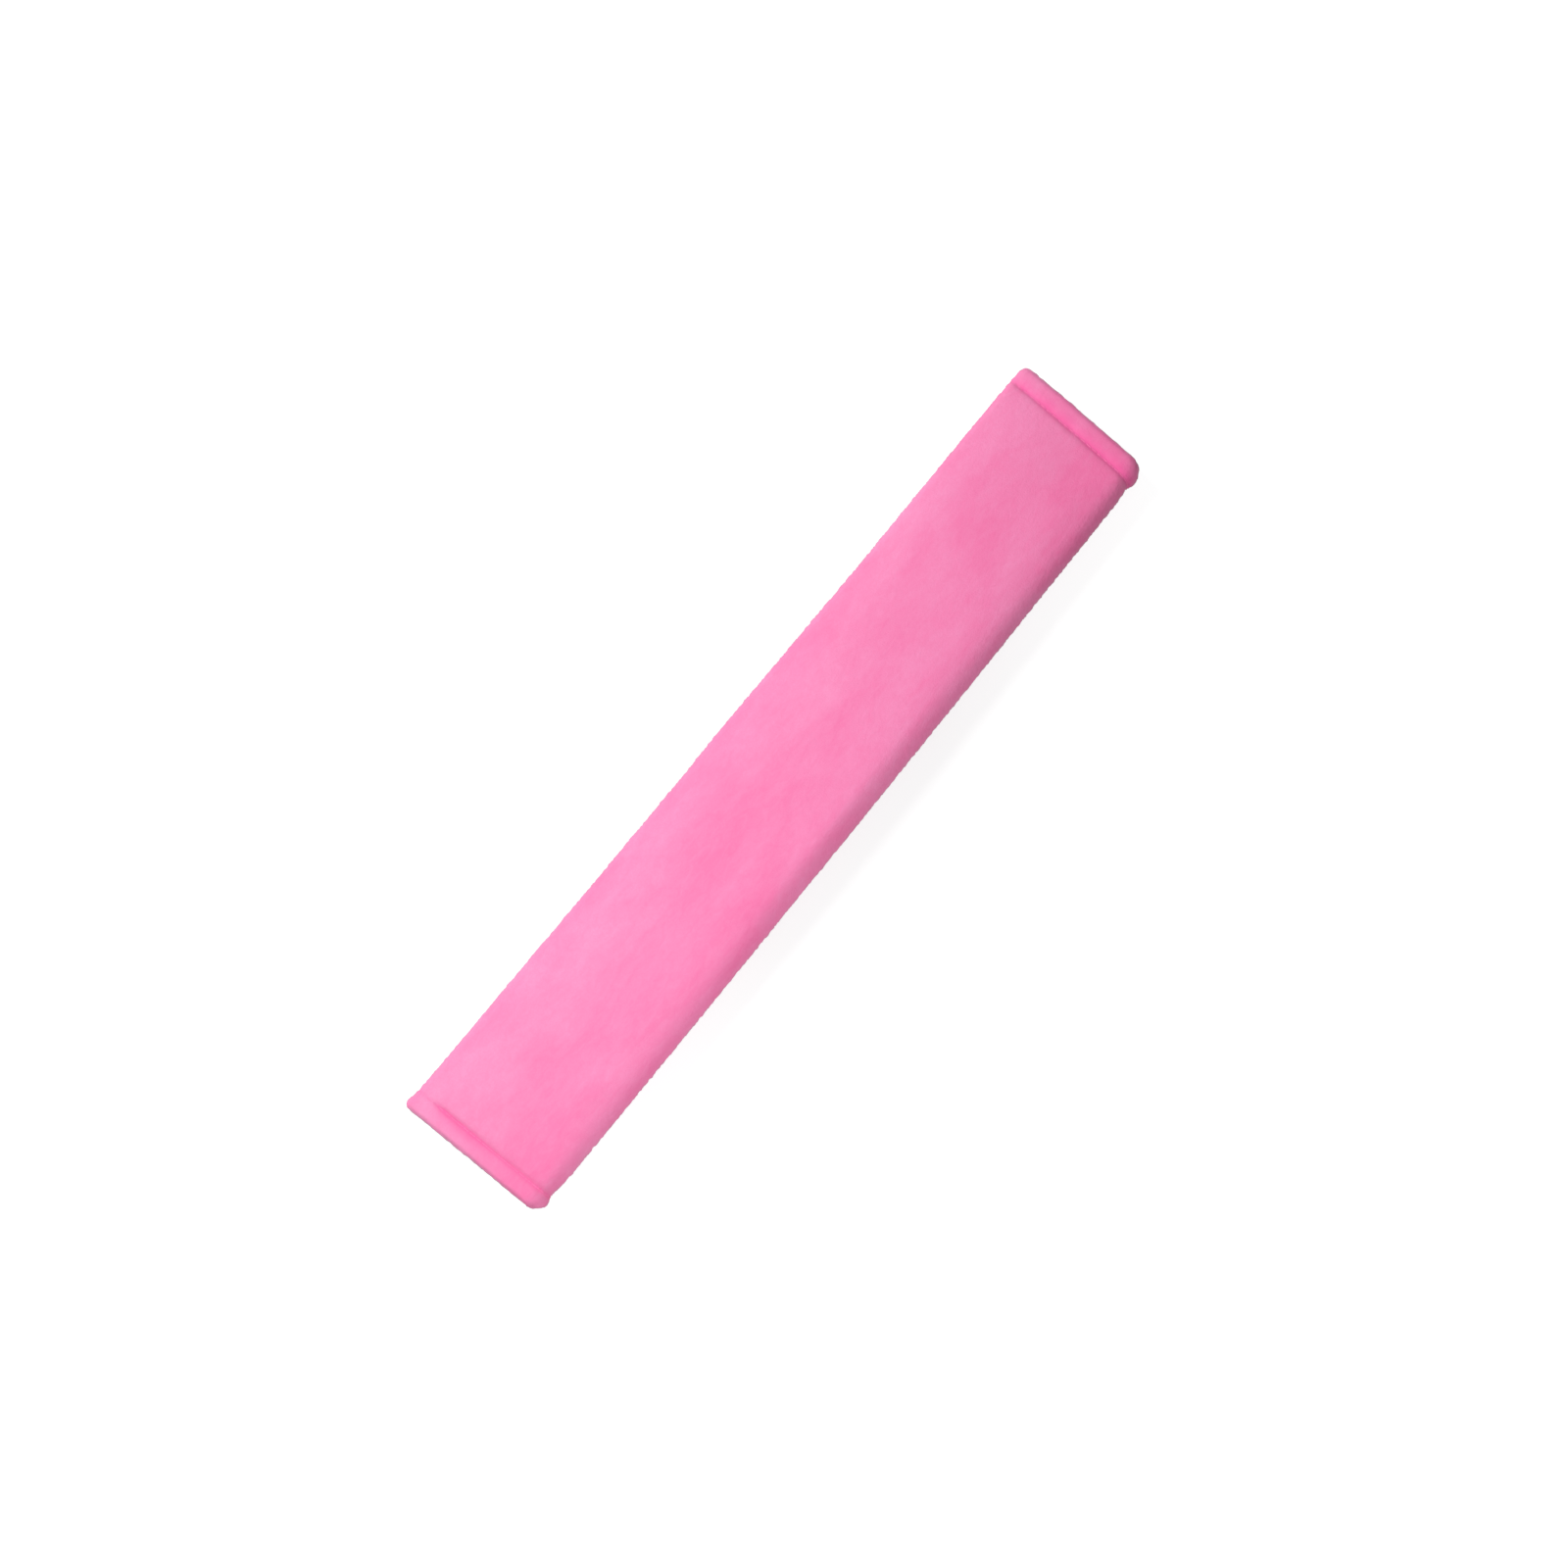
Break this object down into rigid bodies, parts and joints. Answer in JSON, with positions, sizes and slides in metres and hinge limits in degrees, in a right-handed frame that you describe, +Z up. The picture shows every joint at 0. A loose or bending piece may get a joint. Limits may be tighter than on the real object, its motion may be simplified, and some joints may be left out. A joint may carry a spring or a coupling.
{
  "type": "seat belt shoulder pad",
  "caption": "Soft padded plush sleeve, folded lengthwise and closed with hook-and-loop strips, that wraps round seat belt webbing at the shoulder.",
  "frame": {"origin": "on the surface the pad lies on, under the middle of its box", "axes": "+X along the pad's length towards the end that is upper right in the picture, +Y from the fold towards the closing edge, +Z up from the face it lies on"},
  "size_m": [0.385, 0.0666, 0.0169],
  "materials": {
    "plush": "short soft pile, matt with a light sheen",
    "foam": "matt foam",
    "lining": "matt fine knit",
    "hook_tape": "matt moulded hooks on woven tape",
    "loop_tape": "matt brushed loops on woven tape"
  },
  "bodies": {
    "root": {"plush_cover": "plush", "foam_padding": "foam", "inner_lining": "lining", "hook_tape": "hook_tape", "loop_tape": "loop_tape"}
  },
  "joints": []
}
